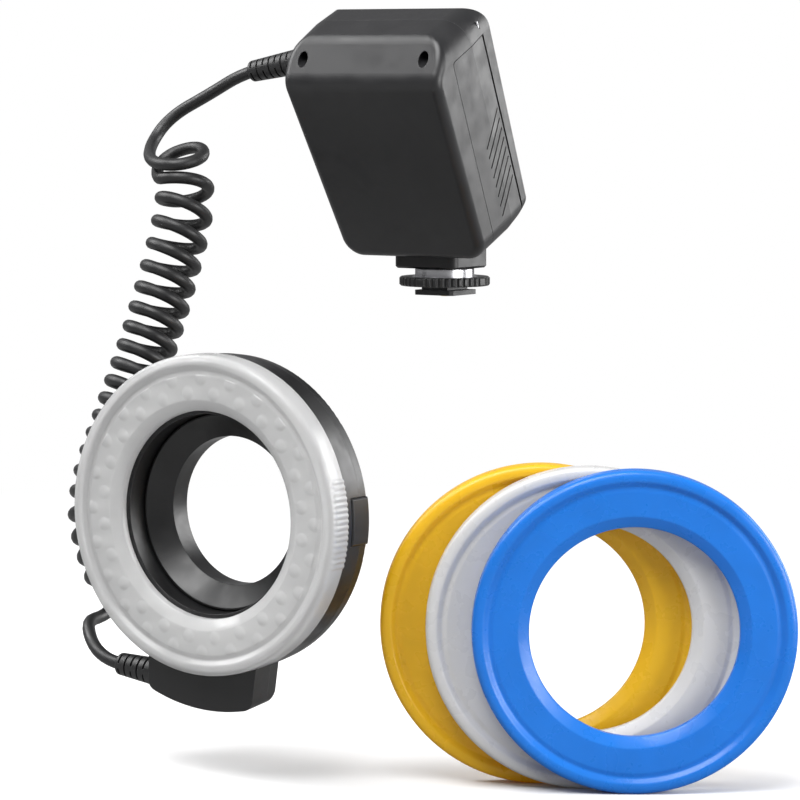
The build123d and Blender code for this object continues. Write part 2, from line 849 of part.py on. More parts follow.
def make_clear_diffuser():
    """The frosted diffuser with finger ribs on both sides of its skirt."""
    ring = diffuser_section()
    rib = Pos(rim_radius, 0, 0) * rod(grip_rib_radius, -skirt_depth, -grip_start)
    first = -grip_pitch * (grip_ribs - 1) / 2
    ribs = [
        Rot(0, 0, turn + first + i * grip_pitch) * rib
        for turn in (0, 180)
        for i in range(grip_ribs)
    ]
    keep("clear_diffuser", HEAD * (ring + ribs))


def make_colour_diffusers():
    """Three coloured diffusers that swap with the clear one, standing one behind the other."""
    facing = Rot(0, 0, stand_turn)
    for i, name in enumerate(("yellow_diffuser", "white_diffuser", "blue_diffuser")):
        height = stand_level + rim_radius
        place = Pos(stand_x, stand_y, height) * facing * Pos(i * stand_shift, -i * stand_step, 0) * Rot(90, 0, 0)
        keep(name, place * diffuser_section())


def block_face(draft):
    """The cord block from the front: an arc below and sides that draw in towards it."""
    low = block_half_low - draft
    high = block_half_high - draft
    radius = block_radius - draft
    sides = make_face(Polyline(
        (-low, -radius - over), (low, -radius - over), (high, -radius / 2), (-high, -radius / 2), close=True
    ))
    face = Circle(radius) & sides
    return fillet(face.vertices().group_by(Axis.Y)[0], block_corner)


def block_solid():
    """The block that hangs under the ring, with drafted sides and a bevelled back."""
    front = Plane.XY.offset(-block_front) * block_face(0)
    back = Plane.XY.offset(-head_depth) * block_face(block_draft)
    body = loft([back, front], ruled=True)
    bevel = Plane.YZ * extrude(make_face(Polyline(
        (-block_radius - over, -head_depth - over),
        (-block_radius + block_back_rise, -head_depth - over),
        (-block_radius + block_back_rise, -head_depth),
        (-block_radius, -head_depth + block_back_chamfer),
        (-block_radius - over, -head_depth + block_back_chamfer),
        close=True,
    )), amount=block_radius, both=True)
    return Rot(0, 0, -block_turn) * (body - bevel)


# Inside radii of the ring housing, and the seats that follow from them
sleeve_outer = sleeve_radius + sleeve_wall
spigot_inner = spigot_radius - housing_wall
drum_inner = housing_radius - housing_wall
floor_front = lamp_board_face + lamp_board_thickness
floor_back = floor_front + ring_floor
rear_floor_front = head_depth - rear_floor
lamp_inner_row = panel_inner + lamp_inner_inset
lamp_outer_row = panel_outer - lamp_outer_inset
adapter_outer = sleeve_radius - body_gap
catch_plate_front = catch_groove_start + seam
catch_groove_end = catch_plate_front + catch_plate_step + catch_plate_thickness + seam
catch_groove_bottom = adapter_outer - catch_groove_depth
catch_tooth_reach = catch_groove_bottom + catch_tooth_play
catch_plate_radius = sleeve_outer + catch_plate_width


def head_relief_frame():
    """Where the cord enters the block, in the head's frame, and the way out of its side."""
    drop = block_radius - block_relief_rise
    flare_share = (block_half_high - block_half_low) / (block_radius / 2 + over)
    half_width = block_half_low + flare_share * (block_radius + over - drop)
    draft_share = block_draft / (head_depth - block_front)
    half_width -= draft_share * (block_relief_depth - block_front)
    turn = Rot(0, 0, -block_turn)
    point = (turn * Pos(-half_width, -drop, -block_relief_depth)).position
    return point, Vector(-cos(radians(block_turn)), sin(radians(block_turn)), 0)


def head_openings():
    """What both halves of the housing leave open: catch windows, tooth slots and the cord's collar."""
    cuts = []
    for turn in (0, 180):
        window = block(
            drum_inner - catch_travel - catch_thickness, housing_radius + over,
            -catch_width / 2 - seam, catch_width / 2 + seam, -catch_end - seam, -catch_start + seam,
        )
        slot = block(
            catch_tooth_reach, sleeve_outer + over,
            -catch_tooth_width / 2 - seam, catch_tooth_width / 2 + seam, -catch_groove_end, -catch_groove_start,
        )
        cuts += [Rot(0, 0, turn) * window, Rot(0, 0, turn) * slot]
    collar = rod(relief_root + relief_play, -shell_wall - over, over)
    pocket_end = -shell_wall - relief_gap - relief_flange_height - relief_play
    pocket = rod(relief_flange + relief_play, pocket_end, -shell_wall)
    cuts += [along(*head_relief_frame()) * collar, along(*head_relief_frame()) * pocket]
    return cuts


def screw_places():
    step = 360 / head_screw_count
    circle = housing_radius - head_screw_inset
    return [Rot(0, 0, head_screw_start + step * i) * Pos(circle, 0, 0) for i in range(head_screw_count)]


def make_housings():
    """The front half carries the spigot, the lamp board's floor and the sleeve; the rear half closes it."""
    front = turned([
        (sleeve_radius, -sleeve_front),
        (sleeve_outer, -sleeve_front),
        (sleeve_outer, -floor_front),
        (spigot_inner, -floor_front),
        (spigot_inner, -spigot_front),
        (spigot_radius, -spigot_front),
        (spigot_radius, -skirt_depth - seam),
        (housing_radius, -skirt_depth - seam),
        (housing_radius, -front_housing_end),
        (drum_inner, -front_housing_end),
        (drum_inner, -floor_back),
        (sleeve_outer, -floor_back),
        (sleeve_outer, -front_housing_end),
        (sleeve_radius, -front_housing_end),
    ])
    rear = turned(
        [
            (sleeve_radius, -front_housing_end),
            (sleeve_outer, -front_housing_end),
            (sleeve_outer, -rear_floor_front),
            (drum_inner, -rear_floor_front),
            (drum_inner, -front_housing_end),
            (housing_radius, -front_housing_end),
            (housing_radius - rear_housing_shrink, -head_depth),
            (sleeve_radius, -head_depth),
        ],
        [0, 0, 0, 0, 0, 0, rear_round, 0],
    )
    lower = block_solid() - rod(drum_inner, -head_depth - over, 0)
    lower -= rod(rim_radius + seam, -skirt_depth - seam, 0)
    reach = 2 * block_radius
    ahead = block(-reach, reach, -reach, reach, -front_housing_end, 0)
    behind = block(-reach, reach, -reach, reach, -head_depth - over, -front_housing_end)
    front += lower & ahead
    rear += lower & behind
    for place in screw_places():
        front += place * rod(head_boss_radius, -rear_floor_front, -floor_back + weld)
        hole = place * rod(head_screw_shank + thread_play, -head_depth - over, -head_depth + head_screw_length)
        front -= hole
        rear -= hole
        rear -= place * rod(head_screw_head + thread_play, -head_depth - over, -head_depth + head_screw_sink)
    for cut in head_openings():
        front -= cut
        rear -= cut
    keep("head_front_housing", HEAD * front)
    keep("head_rear_housing", HEAD * rear)


def make_head_screws():
    screws = []
    top = -head_depth + head_screw_sink
    for place in screw_places():
        head = place * rod(head_screw_head, top - head_screw_head_height, top)
        shank = place * rod(head_screw_shank, top, -head_depth + head_screw_length)
        screws.append(HEAD * (head + shank))
    keep("head_screws", Part() + screws)


def make_lamps():
    """The lamp board and its lamps, two staggered rows of rounded cans."""
    board = tube(spigot_inner - seam, sleeve_outer + seam, -floor_front, -lamp_board_face)
    keep("lamp_board", HEAD * board)
    can = turned([
        (0, 0),
        (lamp_body, 0),
        (lamp_body, lamp_height - lamp_dome),
        (lamp_body - lamp_dome, lamp_height),
        (0, lamp_height),
    ])
    lamps = []
    for i in range(lamp_count):
        for row, shift in ((lamp_inner_row, lamp_stagger_share), (lamp_outer_row, 0)):
            turn = Rot(0, 0, 360 * (i + shift) / lamp_count)
            lamps.append(HEAD * turn * Pos(row, 0, -lamp_board_face) * can)
    keep("lamps", Part() + lamps)


def make_adapter():
    """The ring that screws into the lens and that the head turns on."""
    outer = adapter_outer
    bore = thread_radius - adapter_wall
    ring = turned([
        (sleeve_radius - adapter_lip, -adapter_face_depth),
        (outer - adapter_chamfer, -adapter_face_depth),
        (outer, -adapter_face_depth - adapter_chamfer),
        (outer, -catch_groove_start),
        (catch_groove_bottom, -catch_groove_start),
        (catch_groove_bottom, -catch_groove_end),
        (outer, -catch_groove_end),
        (outer, -adapter_flange_start),
        (sleeve_radius + adapter_flange_lap, -adapter_flange_start),
        (sleeve_radius + adapter_flange_lap, -adapter_flange_end),
        (thread_radius, -adapter_flange_end),
        (thread_radius, -adapter_flange_end - thread_length),
        (bore, -adapter_flange_end - thread_length),
        (bore, -adapter_cone_depth),
    ])
    keep("adapter_ring", HEAD * ring)


def catch(plate_front):
    """A side button on a flat ring whose tooth grips the adapter from the far side."""
    outer = housing_radius + catch_proud
    band = turned([
        (outer - catch_thickness, -catch_end),
        (outer - catch_bevel, -catch_end),
        (outer, -catch_end + catch_bevel),
        (outer, -catch_start - catch_bevel),
        (outer - catch_bevel, -catch_start),
        (outer - catch_thickness, -catch_start),
    ])
    half_width = catch_width / 2
    corner = sqrt(outer ** 2 - half_width ** 2) - catch_bevel
    outline = Polyline(
        (0, -half_width), (corner, -half_width), (corner + half_width, 0), (corner, half_width), (0, half_width),
        close=True,
    )
    cap = Rot(0, 0, 180) * band & extrude(make_face(outline), amount=head_depth, both=True)
    low = -plate_front - catch_plate_thickness
    high = -plate_front
    plate = rod(catch_plate_radius, low, high)
    inner = sleeve_outer + body_gap
    plate -= rod(inner, low - over, high + over)
    plate -= Pos(catch_travel, 0, 0) * rod(inner, low - over, high + over)
    plate -= block(0, catch_travel, -inner, inner, low - over, high + over)
    arm = block(
        inner + catch_travel + weld, outer - catch_thickness / 2,
        -catch_arm_width / 2, catch_arm_width / 2, low, high,
    )
    tooth = block(
        -catch_plate_radius + catch_tooth_root, -catch_tooth_reach,
        -catch_tooth_width / 2, catch_tooth_width / 2, low, high,
    )
    return cap + plate + arm + tooth


def make_catches():
    keep("release_catch_right", HEAD * catch(catch_plate_front))
    keep("release_catch_left", HEAD * Rot(0, 0, 180) * catch(catch_plate_front + catch_plate_step))


def make_head_relief():
    place = along(*head_relief_frame())
    sleeve = Pos(0, 0, relief_collar) * relief_sleeve(head_relief_length, head_relief_slots)
    keep("head_cord_relief", HEAD * place * (relief_mount() + sleeve))


# The curly cord. The route of the middle of the coil is chosen by hand from where it hangs.
coil_route = [
    (-94.5, -63.5, 58.0),
    (-87.5, -60.5, 41.0),
    (-85.5, -65.5, 23.5),
    (-87.0, -72.0, 4.5),
    (-88.5, -80.0, -15.0),
    (-90.5, -88.5, -34.0),
    (-92.0, -98.0, -53.0),
    (-93.5, -107.5, -72.0),
    (-89.5, -115.5, -91.0),
    (-72.5, -122.5, -110.0),
]
coil_radius = 9.7               # from the middle of the coil to the middle of the cord
coil_turns = 21.75
coil_steps = 4                  # arcs are fitted over a quarter turn
coil_start = 225                # where the cord enters, seen from above, in degrees from +X
coil_open_share = 1.6           # how much wider apart the turns lie away from the tightest place
coil_tight_share = 0.6          # where along the coil its turns lie closest
coil_samples = 400              # places along the route between which the helix is worked out
gap_samples = 24                # points a turn for the least gap
heading_step = 0.01             # of a turn, over which a heading is taken
cord_sides = 6                  # the coil's section has few sides
bend_share = 0.45               # of the shorter run, taken up by each bend of a lead
top_stub = 9.0                  # straight out of the unit's relief
top_end = 6.0                   # straight into the coil
bottom_start = 6.0              # straight out of the coil
bottom_stub = 6.0               # straight into the head's relief
top_route = [
    (-88.3, -36.3, 85.0),
    (-98.5, -36.8, 80.0),
    (-107.0, -39.5, 73.5),
    (-111.5, -46.0, 66.5),
    (-110.5, -54.5, 61.5),
]
bottom_route = [
    (-75.0, -140.5, -123.0),
    (-66.5, -147.5, -131.0),
]


def coil_share(turn):
    """How far along the route a turn lies: the turns are closest at one place."""
    def spread(share):
        past = share - coil_tight_share
        return share + coil_open_share * (past ** 3 + coil_tight_share ** 3) / 3

    return spread(turn / coil_turns) / spread(1)


def coil_helix():
    """The middle of the cord as a function of the turn: a left-handed helix about the route."""
    route = Spline(*coil_route)
    places = [route @ (i / coil_samples) for i in range(coil_samples + 1)]
    headings = [(route % (i / coil_samples)).normalized() for i in range(coil_samples + 1)]
    side = Vector(cos(radians(coil_start)), sin(radians(coil_start)), 0)
    sides = []
    for heading in headings:
        side = (side - heading * side.dot(heading)).normalized()
        sides.append(side)

    def between(values, i, part):
        return values[i] * (1 - part) + values[i + 1] * part

    def helix(turn):
        place = coil_share(turn) * coil_samples
        i = min(int(place), coil_samples - 1)
        part = place - i
        heading = between(headings, i, part).normalized()
        first = between(sides, i, part)
        first = (first - heading * first.dot(heading)).normalized()
        second = first.cross(heading)
        angle = 2 * pi * turn
        return between(places, i, part) + (first * cos(angle) + second * sin(angle)) * coil_radius

    return helix


def coil_points(helix):
    """Points along the coil, a quarter turn apart, and the cord's heading at each."""
    points = []
    for i in range(round(coil_turns * coil_steps) + 1):
        turn = i / coil_steps
        ahead = helix(min(turn + heading_step, coil_turns))
        behind = helix(max(turn - heading_step, 0))
        points.append((helix(turn), (ahead - behind).normalized()))
    return points


def biarc(start, start_heading, end, end_heading):
    """Two arcs that leave one point and reach the other along the given headings."""
    gap = end - start
    both = start_heading + end_heading
    bend = 2 * (1 - start_heading.dot(end_heading))
    across = gap.dot(both)
    reach = (sqrt(across * across + bend * gap.dot(gap)) - across) / bend
    middle = (start + start_heading * reach + end - end_heading * reach) / 2
    first = Edge.make_tangent_arc(start, start_heading, middle)
    second = Edge.make_tangent_arc(middle, first % 1, end)
    return [first, second]


def cord_section(place, heading):
    """The cord's section as a face with few sides, of the same area as the round one."""
    sides = cord_sides
    radius = cord_diameter / 2 * sqrt(2 * pi / sides / sin(2 * pi / sides))
    return Plane(place, z_dir=heading) * RegularPolygon(radius, sides)


def volume_share(solid, path):
    """The solid's volume over that of a round cord as long as the path."""
    return round(solid.volume / path.length / (pi * (cord_diameter / 2) ** 2), 4)


def make_coil():
    """The coil as one unbroken tube, with a straight end of one diameter at either side."""
    helix = coil_helix()
    points = coil_points(helix)
    first, first_heading = points[0]
    last, last_heading = points[-1]
    begin = first - first_heading * cord_diameter
    finish = last + last_heading * cord_diameter
    edges = [Edge.make_line(begin, first)]
    for (a, a_way), (b, b_way) in zip(points, points[1:]):
        edges += biarc(a, a_way, b, b_way)
    edges.append(Edge.make_line(last, finish))
    path = Wire(edges)
    coil = sweep(cord_section(begin, first_heading), path=path, clean=False)
    keep("curly_cord", coil)
    print("coil length", round(path.length, 1), "volume share", volume_share(coil, path))
    samples = [helix(i / gap_samples) for i in range(round(coil_turns * gap_samples) + 1)]
    least = min((a - b).length for i, a in enumerate(samples) for b in samples[i + gap_samples // 2:])
    print("least gap of the coil to itself", round(least - cord_diameter, 2))
    return begin, first_heading, finish, last_heading


def lead(name, points):
    """A free stretch of the cord: straight runs joined by the largest arcs that they allow."""
    runs = [(b - a) for a, b in zip(points, points[1:])]
    radii = []
    for a, b in zip(runs, runs[1:]):
        turn = radians(a.get_angle(b))
        radii.append(bend_share * min(a.length, b.length) / tan(turn / 2))
    print(name, "radii", [round(r, 1) for r in radii], "runs", [round(r.length, 1) for r in runs])
    path = FilletPolyline(*points, radius=radii)
    solid = sweep(Plane(points[0], z_dir=runs[0]) * Circle(cord_diameter / 2), path=path)
    print(name, "length", round(path.length, 1), "volume share", volume_share(solid, path))
    keep(name, solid)


def make_cord():
    begin, begin_heading, finish, finish_heading = make_coil()
    start, way = unit_relief_frame()
    tip = start + way * unit_relief_length
    points = [tip, tip + way * top_stub]
    points += [Vector(*p) for p in top_route]
    points += [begin - begin_heading * top_end, begin]
    lead("top_lead", points)
    out = HEAD * along(*head_relief_frame()) * Pos(0, 0, relief_collar + head_relief_length)
    points = [finish, finish + finish_heading * bottom_start]
    points += [Vector(*p) for p in bottom_route]
    points += [(out * Pos(0, 0, bottom_stub)).position, out.position]
    lead("bottom_lead", points)


def main():
    os.makedirs("parts", exist_ok=True)
    body = unit_solid(0)
    front = body.faces().filter_by(GeomType.PLANE).sort_by(lambda face: face.normal_at().Y)[0]
    sides = front.edges().sort_by(Axis.X)
    body = fillet([sides[0], sides[-1]], edge_round)
    inside = unit_solid(shell_wall)
    make_foot()
    make_pin()
    make_stem()
    make_wheel()
    make_pedestal(body)
    make_shells(body, inside)
    make_door(body)
    make_case_screws()
    make_cells()
    make_tray(inside)
    make_contacts()
    make_board()
    make_rear_panel()
    make_unit_relief()
    make_clear_diffuser()
    make_housings()
    make_head_screws()
    make_lamps()
    make_adapter()
    make_catches()
    make_head_relief()
    make_cord()
    make_colour_diffusers()
    for name, shape in nodes.items():
        export_step(shape, f"parts/{name}.step")
    print(len(nodes), "nodes")


main()
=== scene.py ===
"""A ring flash with its shoe unit, curled cord and three spare diffusers, on a plain pale floor.

Lengths are in metres unless a comment says otherwise. The CAD parts keep their shape and get
procedural materials. The cord and the four diffusers are built here in place of the CAD ones.
The diffusers stand at the same places, and the cord's upper part has a route of its own.
"""

import math

import bpy
import numpy as np
from mathutils import Matrix, Vector


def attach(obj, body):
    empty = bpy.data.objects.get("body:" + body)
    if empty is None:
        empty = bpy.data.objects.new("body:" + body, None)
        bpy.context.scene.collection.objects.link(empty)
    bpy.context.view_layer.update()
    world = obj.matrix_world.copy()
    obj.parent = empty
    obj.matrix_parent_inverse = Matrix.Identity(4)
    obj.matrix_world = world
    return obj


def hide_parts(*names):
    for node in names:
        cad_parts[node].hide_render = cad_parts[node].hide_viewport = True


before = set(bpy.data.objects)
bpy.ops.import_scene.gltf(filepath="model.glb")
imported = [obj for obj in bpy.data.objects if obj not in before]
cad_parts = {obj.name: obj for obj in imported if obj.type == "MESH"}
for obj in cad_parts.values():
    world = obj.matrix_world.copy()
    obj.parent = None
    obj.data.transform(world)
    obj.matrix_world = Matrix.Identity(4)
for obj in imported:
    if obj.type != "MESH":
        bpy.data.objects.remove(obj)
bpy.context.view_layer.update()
mm = 0.001
whole_turn = 2 * math.pi

# Camera
camera_place = (0.8399, -1.2940, 0.0929)
camera_turn = math.radians(33.66)
camera_pitch = math.radians(5.04)
camera_lens = 171.0
camera_sensor = 36.0
camera_near = 0.01

# Diffuser section, as in the CAD part, in millimetres
rim_radius = 60.2
skirt_depth = 10.1
rim_round = 2.6
rim_land = 1.4
wall = 1.6
valley_radius = 54.2
valley_depth = 1.7
panel_outer = 52.4
panel_inner = 43.2
panel_depth = 1.2
lip_radius = 39.0
lip_wall = 1.5
lip_depth = 3.4
lip_end = 6.5
soft_edge = 0.35
lip_edge = 0.6
grip_ribs = 16
grip_pitch = math.radians(2.0)
grip_start = 1.9
grip_height = 0.55
panel_points = 14
skirt_points = 10
lathe_steps = 960
spare_steps = 400
lamp_count = 24
lamp_rows = ((45.9, 0.5), (51.3, 0.0))    # radius of each row, and its shift as a share of the pitch
lens_height = 0.5
lens_radius = 2.6

# Places of the ring and of the spare diffusers
head_place = (0, -0.1674, -0.0742)
spare_place = (0.1035, -0.093, -0.1158)
spare_turn = math.radians(33.5)
spare_step = (0.017, -0.0106, 0)
floor_level = -0.176

# Cord, in millimetres. Its first loop's points are listed one by one, and its upper turns lean a little
cord_diameter = 5.0
coil_radius = 9.7
coil_turns = 21.75
coil_start = math.radians(225)
coil_tight_share = 0.6
coil_open_share = 1.6
turn_points = 16
guide_steps = 24
guide_places = 600
cord_sides = 5
cord_steps = 4
coil_first = 1
lean_way = (math.cos(camera_turn), math.sin(camera_turn), 0)
lean_turns = (1, 4, 8)
lean_shares = (0.08, 0.04, 0)
top_route = (
    (-69.3, -36.6, 90.3),
    (-76.8, -36.6, 88.2),
    (-87.2, -36.4, 83),
    (-96.8, -36.7, 78.3),
    (-105.3, -38, 74),
    (-111, -41.5, 68.3),
    (-112.5, -46.5, 62),
)
loop_route = (
    (-108.5, -54.3, 58.6),
    (-102.1, -63.3, 55.6),
    (-94.1, -69.9, 53.5),
    (-86.9, -71.4, 52.8),
    (-81.5, -69.2, 53),
    (-78.2, -64.1, 54.4),
    (-78.8, -57.6, 56.2),
    (-82.4, -52.7, 58.7),
    (-88.2, -50.1, 59.6),
    (-94.1, -50.3, 58.7),
    (-99.2, -52.3, 56.7),
    (-101.6, -56.1, 53.4),
    (-99.9, -61.2, 49.9),
)
coil_route = (
    (-91, -61.2, 59),
    (-86, -59.5, 46),
    (-84.2, -64.8, 30),
    (-85.7, -71.2, 11),
    (-87.3, -79.3, -10.5),
    (-90, -88.3, -32.5),
    (-92, -98, -53),
    (-93.5, -107.5, -72),
    (-89.5, -115.5, -91),
    (-72.5, -122.5, -110),
)
bottom_route = (
    (-76.9, -121.3, -120.1),
    (-78.4, -126.2, -123.2),
    (-75, -140.5, -123),
    (-66.5, -147.5, -131),
    (-56.2, -150.8, -135.5),
    (-50.2, -150.8, -136.1),
)

# Values that all materials share
patch_detail = 5.0
patch_roughness = 0.6
smudge_times = 3.3              # scale of the smudges, in scales of the patches
smudge_detail = 3.0
grain_detail = 2.0
noise_low = 0.3
noise_high = 0.7
edge_samples = 4
wear_start = 0.97               # cosine between the rounded and the flat normal
wear_full = 0.80
worn_share = 0.25               # how far a worn edge goes towards white
bump_strength = 0.6
plastic_ior = 1.49
plastic_specular = 0.5

# Floor, backdrop and lights
floor_reach = 6.0
floor_rough = 0.9
floor_colour = (0.86, 0.86, 0.86, 1)
floor_bounce = (0.3, 0.3, 0.3, 1)
fade_start = 0.3
fade_end = 0.9
studio_grey = (0.33, 0.33, 0.335, 1)
backdrop_white = (1, 1, 1, 1)
light_target = (0, -0.08, -0.03)
lights = (
    # name, place, side, power
    ("top", (0.1, -0.9, 1.3), 1.1, 32),
    ("right", (1.6, -0.1, 0.1), 0.9, 22),
    ("back right", (1.0, 1.4, 0.4), 1.1, 22),
    ("upper left", (-1.2, -0.5, 1.0), 0.9, 20),
)


# Materials

def node(tree, kind, **values):
    """A shader node with its options and input values set."""
    made = tree.nodes.new(kind)
    for name, value in values.items():
        if name in made.inputs:
            made.inputs[name].default_value = value
        else:
            setattr(made, name, value)
    return made


def ramp(tree, source, low, high, out_low, out_high):
    """The source's value carried from one range to another."""
    made = node(tree, "ShaderNodeMapRange")
    made.inputs["From Min"].default_value = low
    made.inputs["From Max"].default_value = high
    made.inputs["To Min"].default_value = out_low
    made.inputs["To Max"].default_value = out_high
    tree.links.new(source, made.inputs["Value"])
    return made.outputs["Result"]


def blend(tree, share, first, second):
    """A colour between two colours; each is a socket or a plain colour.

    The node's inputs 6 and 7 are its two colours, and its output 2 is the mixed colour.
    """
    made = node(tree, "ShaderNodeMix", data_type="RGBA")
    tree.links.new(share, made.inputs[0])
    for socket, value in ((made.inputs[6], first), (made.inputs[7], second)):
        if isinstance(value, tuple):
            socket.default_value = value
        else:
            tree.links.new(value, socket)
    return made.outputs[2]


def shade(colour, factor):
    """The colour made lighter or darker, with full opacity."""
    return tuple(min(1.0, c * factor) for c in colour) + (1.0,)


def surface(name, colour, rough, vary=0.12, patch=40, grain=1800, grain_height=0.02,
            wear=0.3, edge=0.35, rough_vary=0.08, sockets=None):
    """A material with soft patches of colour, uneven roughness, fine grain and worn edges.

    patch and grain are the scales of the colour patches and of the grain, per metre.
    edge is the width in millimetres of the rounded and worn edge.
    """
    made = bpy.data.materials.new(name)
    made.use_nodes = True
    tree = made.node_tree
    shader = tree.nodes["Principled BSDF"]
    for socket, value in (sockets or {}).items():
        shader.inputs[socket].default_value = value
    place = node(tree, "ShaderNodeTexCoord").outputs["Object"]
    patches = node(tree, "ShaderNodeTexNoise", Scale=patch, Detail=patch_detail,
                   Roughness=patch_roughness)
    smudges = node(tree, "ShaderNodeTexNoise", Scale=patch * smudge_times, Detail=smudge_detail)
    grains = node(tree, "ShaderNodeTexNoise", Scale=grain, Detail=grain_detail)
    for texture in (patches, smudges, grains):
        tree.links.new(place, texture.inputs["Vector"])
    share = ramp(tree, patches.outputs["Fac"], noise_low, noise_high, 0.0, 1.0)
    tint = blend(tree, share, shade(colour, 1 - vary), shade(colour, 1 + vary))
    round_edge = node(tree, "ShaderNodeBevel", samples=edge_samples, Radius=edge * mm)
    flat = node(tree, "ShaderNodeNewGeometry")
    facing = node(tree, "ShaderNodeVectorMath", operation="DOT_PRODUCT")
    tree.links.new(round_edge.outputs["Normal"], facing.inputs[0])
    tree.links.new(flat.outputs["Normal"], facing.inputs[1])
    worn = ramp(tree, facing.outputs["Value"], wear_start, wear_full, 0.0, wear)
    patchy = node(tree, "ShaderNodeMath", operation="MULTIPLY")
    tree.links.new(worn, patchy.inputs[0])
    tree.links.new(smudges.outputs["Fac"], patchy.inputs[1])
    light = tuple(c + (1 - c) * worn_share for c in colour)
    tree.links.new(blend(tree, patchy.outputs[0], tint, shade(light, 1)), shader.inputs["Base Color"])
    smooth, coarse = rough - rough_vary, rough + rough_vary
    uneven = ramp(tree, smudges.outputs["Fac"], noise_low, noise_high, smooth, coarse)
    tree.links.new(uneven, shader.inputs["Roughness"])
    bump = node(tree, "ShaderNodeBump", Strength=bump_strength, Distance=grain_height * mm)
    tree.links.new(grains.outputs["Fac"], bump.inputs["Height"])
    tree.links.new(round_edge.outputs["Normal"], bump.inputs["Normal"])
    tree.links.new(bump.outputs["Normal"], shader.inputs["Normal"])
    return made


def translucent(name, colour, rough, clear_share, inner, scatter_share, straight_share, **options):
    """A moulded translucent plastic: a frosted surface over a body that passes and scatters light.

    clear_share is how much of the surface passes light as frosted glass does, scatter_share
    is how much spreads light through to the other side in the inner colour, and
    straight_share is how much lets it through without turning it.
    """
    made = surface(name, colour, rough, sockets={
        "Transmission Weight": clear_share,
        "IOR": plastic_ior,
        "Specular IOR Level": plastic_specular,
    }, **options)
    tree = made.node_tree
    shader = tree.nodes["Principled BSDF"]
    output = tree.nodes["Material Output"]
    through = node(tree, "ShaderNodeBsdfTranslucent", Color=shade(inner, 1))
    both = node(tree, "ShaderNodeMixShader", Fac=scatter_share)
    straight = node(tree, "ShaderNodeBsdfTransparent", Color=shade(colour, 1))
    whole = node(tree, "ShaderNodeMixShader", Fac=straight_share)
    tree.links.new(shader.outputs[0], both.inputs[1])
    tree.links.new(through.outputs[0], both.inputs[2])
    tree.links.new(both.outputs[0], whole.inputs[1])
    tree.links.new(straight.outputs[0], whole.inputs[2])
    tree.links.new(whole.outputs[0], output.inputs["Surface"])
    return made


moulding = surface("black moulding", (0.012, 0.012, 0.013), 0.4, wear=0.3)
housing = surface("ring housing", (0.009, 0.009, 0.0095), 0.36, wear=0.3)
wheel_skin = surface("knurled wheel", (0.009, 0.009, 0.0095), 0.38, wear=0.4)
control = surface("grey controls", (0.06, 0.06, 0.065), 0.4)
rubber = surface("cord rubber", (0.009, 0.009, 0.0095), 0.45, grain=2600, grain_height=0.012,
                 wear=0.0, patch=60)
relief = surface("relief rubber", (0.011, 0.011, 0.0115), 0.42, wear=0.3)
frosted = translucent("frosted clear", (0.93, 0.93, 0.93), rough=0.16, clear_share=0.6,
                      inner=(0.9, 0.9, 0.9), scatter_share=0.2, straight_share=0.2,
                      vary=0.02, wear=0.2, grain=1100)
yellow = translucent("yellow translucent", (0.86, 0.55, 0.02), rough=0.3, clear_share=0.05,
                     inner=(0.95, 0.55, 0.02), scatter_share=0.25, straight_share=0.0,
                     vary=0.05, wear=0.1)
white = translucent("white translucent", (0.72, 0.72, 0.72), rough=0.3, clear_share=0.05,
                    inner=(0.7, 0.7, 0.7), scatter_share=0.25, straight_share=0.0,
                    vary=0.04, wear=0.1)
blue = translucent("blue translucent", (0.012, 0.2, 0.72), rough=0.3, clear_share=0.05,
                   inner=(0.02, 0.25, 0.8), scatter_share=0.2, straight_share=0.0,
                   vary=0.07, wear=0.1)
lamp_skin = surface("lamp domes", (0.85, 0.85, 0.83), 0.12, vary=0.03, wear=0.1)
board = surface("circuit board", (0.02, 0.16, 0.06), 0.4, vary=0.2, patch=150)
lamp_base = surface("lamp board", (0.6, 0.6, 0.6), 0.4, patch=150)
glass = surface("window", (0.35, 0.38, 0.38), 0.08, vary=0.03, sockets={"Transmission Weight": 0.6})
display = surface("display", (0.12, 0.14, 0.12), 0.2)
pilot = surface("pilot lamp", (0.5, 0.02, 0.02), 0.15, sockets={"Transmission Weight": 0.3})
steel = surface("plated steel", (0.6, 0.6, 0.62), 0.3, sockets={"Metallic": 1.0})
dark_steel = surface("black screws", (0.04, 0.04, 0.042), 0.35, sockets={"Metallic": 1.0})
cell_skin = surface("cell wrapping", (0.5, 0.5, 0.5), 0.35, sockets={"Metallic": 0.8})
brass = surface("plated brass", (0.75, 0.6, 0.3), 0.3, sockets={"Metallic": 1.0})

finishes = {
    "shoe_foot": moulding,
    "contact_pin": brass,
    "shoe_stem": steel,
    "lock_wheel": wheel_skin,
    "wheel_bush": steel,
    "shoe_pedestal": moulding,
    "unit_front_shell": moulding,
    "unit_rear_shell": moulding,
    "battery_door": moulding,
    "door_hinge_rod": steel,
    "unit_case_screws": dark_steel,
    "battery_cells": cell_skin,
    "battery_tray": moulding,
    "battery_contacts": steel,
    "door_contacts": steel,
    "main_circuit_board": board,
    "display_window": glass,
    "display_module": display,
    "key_minus": control,
    "key_mode": control,
    "key_plus": control,
    "key_test": control,
    "power_switch": control,
    "pilot_lamp": pilot,
    "unit_cord_relief": relief,
    "head_front_housing": housing,
    "head_rear_housing": housing,
    "head_screws": dark_steel,
    "lamp_board": lamp_base,
    "lamps": lamp_skin,
    "adapter_ring": housing,
    "release_catch_right": housing,
    "release_catch_left": housing,
    "head_cord_relief": relief,
}
for name, finish in finishes.items():
    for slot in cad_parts[name].material_slots:
        slot.material = finish


# New pieces

def add(name, mesh, finish):
    """An object at the origin, shaded smooth."""
    mesh.materials.append(finish)
    mesh.shade_smooth()
    made = bpy.data.objects.new(name, mesh)
    bpy.context.scene.collection.objects.link(made)
    return made


